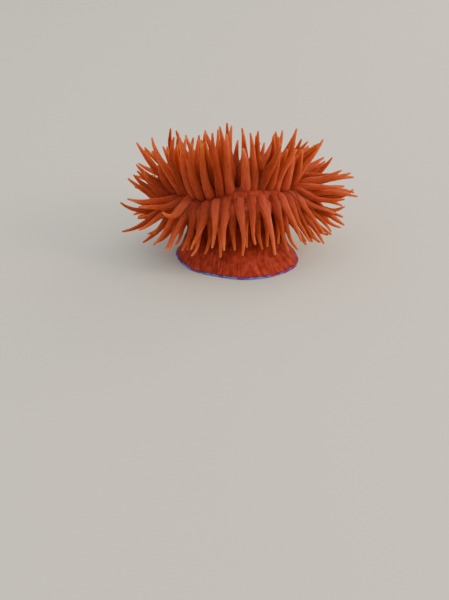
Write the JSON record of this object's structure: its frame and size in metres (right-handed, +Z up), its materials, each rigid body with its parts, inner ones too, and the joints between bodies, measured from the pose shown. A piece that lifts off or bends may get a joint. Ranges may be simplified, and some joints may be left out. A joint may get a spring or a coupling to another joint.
{
  "type": "beadlet anemone",
  "caption": "Life-size still model of a red beadlet anemone, open, on a short column with a blue-edged foot disc",
  "frame": {"origin": "middle of the foot's underside, on the surface that the animal stands on", "axes": "+Z up, -Y the front of the animal as pictured, +X to the right of that view"},
  "size_m": [0.061, 0.0585, 0.0375],
  "materials": {
    "rim_blue": "satin wet flesh, blue line round the foot",
    "foot_red": "satin wet flesh, crimson",
    "column_red": "satin wet flesh, dark maroon",
    "collar_red": "satin wet flesh with blue beads",
    "mouth_red": "satin wet flesh, crimson",
    "tentacle_red": "satin, slightly see-through wet flesh, brick red"
  },
  "bodies": {
    "root": {"foot_rim": "rim_blue", "foot_disc": "foot_red", "column_lower": "column_red", "column_upper": "column_red", "collar": "collar_red", "mouth_disc": "mouth_red", "lips": "mouth_red", "tentacles_01": "tentacle_red", "tentacles_02": "tentacle_red", "tentacles_03": "tentacle_red", "tentacles_04": "tentacle_red", "tentacles_05": "tentacle_red", "tentacles_06": "tentacle_red", "tentacles_07": "tentacle_red", "tentacles_08": "tentacle_red", "tentacles_09": "tentacle_red", "tentacles_10": "tentacle_red", "tentacles_11": "tentacle_red", "tentacles_12": "tentacle_red"}
  },
  "joints": []
}
